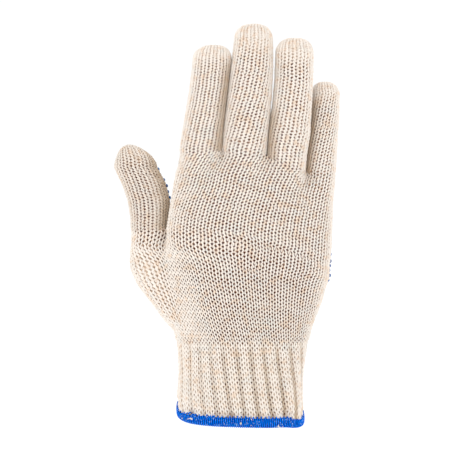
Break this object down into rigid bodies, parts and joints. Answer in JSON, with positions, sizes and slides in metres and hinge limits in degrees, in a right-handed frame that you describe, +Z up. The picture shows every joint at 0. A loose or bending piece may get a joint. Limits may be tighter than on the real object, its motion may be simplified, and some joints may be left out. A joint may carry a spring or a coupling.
{
  "type": "dotted knit work glove",
  "caption": "Right-hand cotton string-knit work glove in the form of a raised hand, with a rib cuff, blue overlocked hem and plastic grip dots on the palm side.",
  "frame": {"origin": "middle of the wrist opening, at the level of its two sides", "axes": "+Z up along the fingers, -Y the way the back of the hand faces, +Y the way the dotted palm faces, -X towards the thumb"},
  "size_m": [0.1358, 0.0526, 0.2388],
  "materials": {
    "cotton_knit": "natural cotton yarn, plain knit, matt and slightly hairy",
    "elastic_rib": "the same yarn drawn into soft ribs by elastic thread",
    "overlock_thread": "bright blue polyester overlock thread, dense stitches",
    "pvc_dots": "small domed dots of soft blue plastic, satin"
  },
  "bodies": {
    "root": {"cuff_hem": "overlock_thread", "cuff_rib": "elastic_rib", "palm_heel": "cotton_knit", "palm_knuckles": "cotton_knit", "thumb": "cotton_knit", "index_finger": "cotton_knit", "middle_finger": "cotton_knit", "ring_finger": "cotton_knit", "little_finger": "cotton_knit", "palm_dots": "pvc_dots", "thumb_dots": "pvc_dots", "index_dots": "pvc_dots", "middle_dots": "pvc_dots", "ring_dots": "pvc_dots", "little_dots": "pvc_dots"}
  },
  "joints": []
}
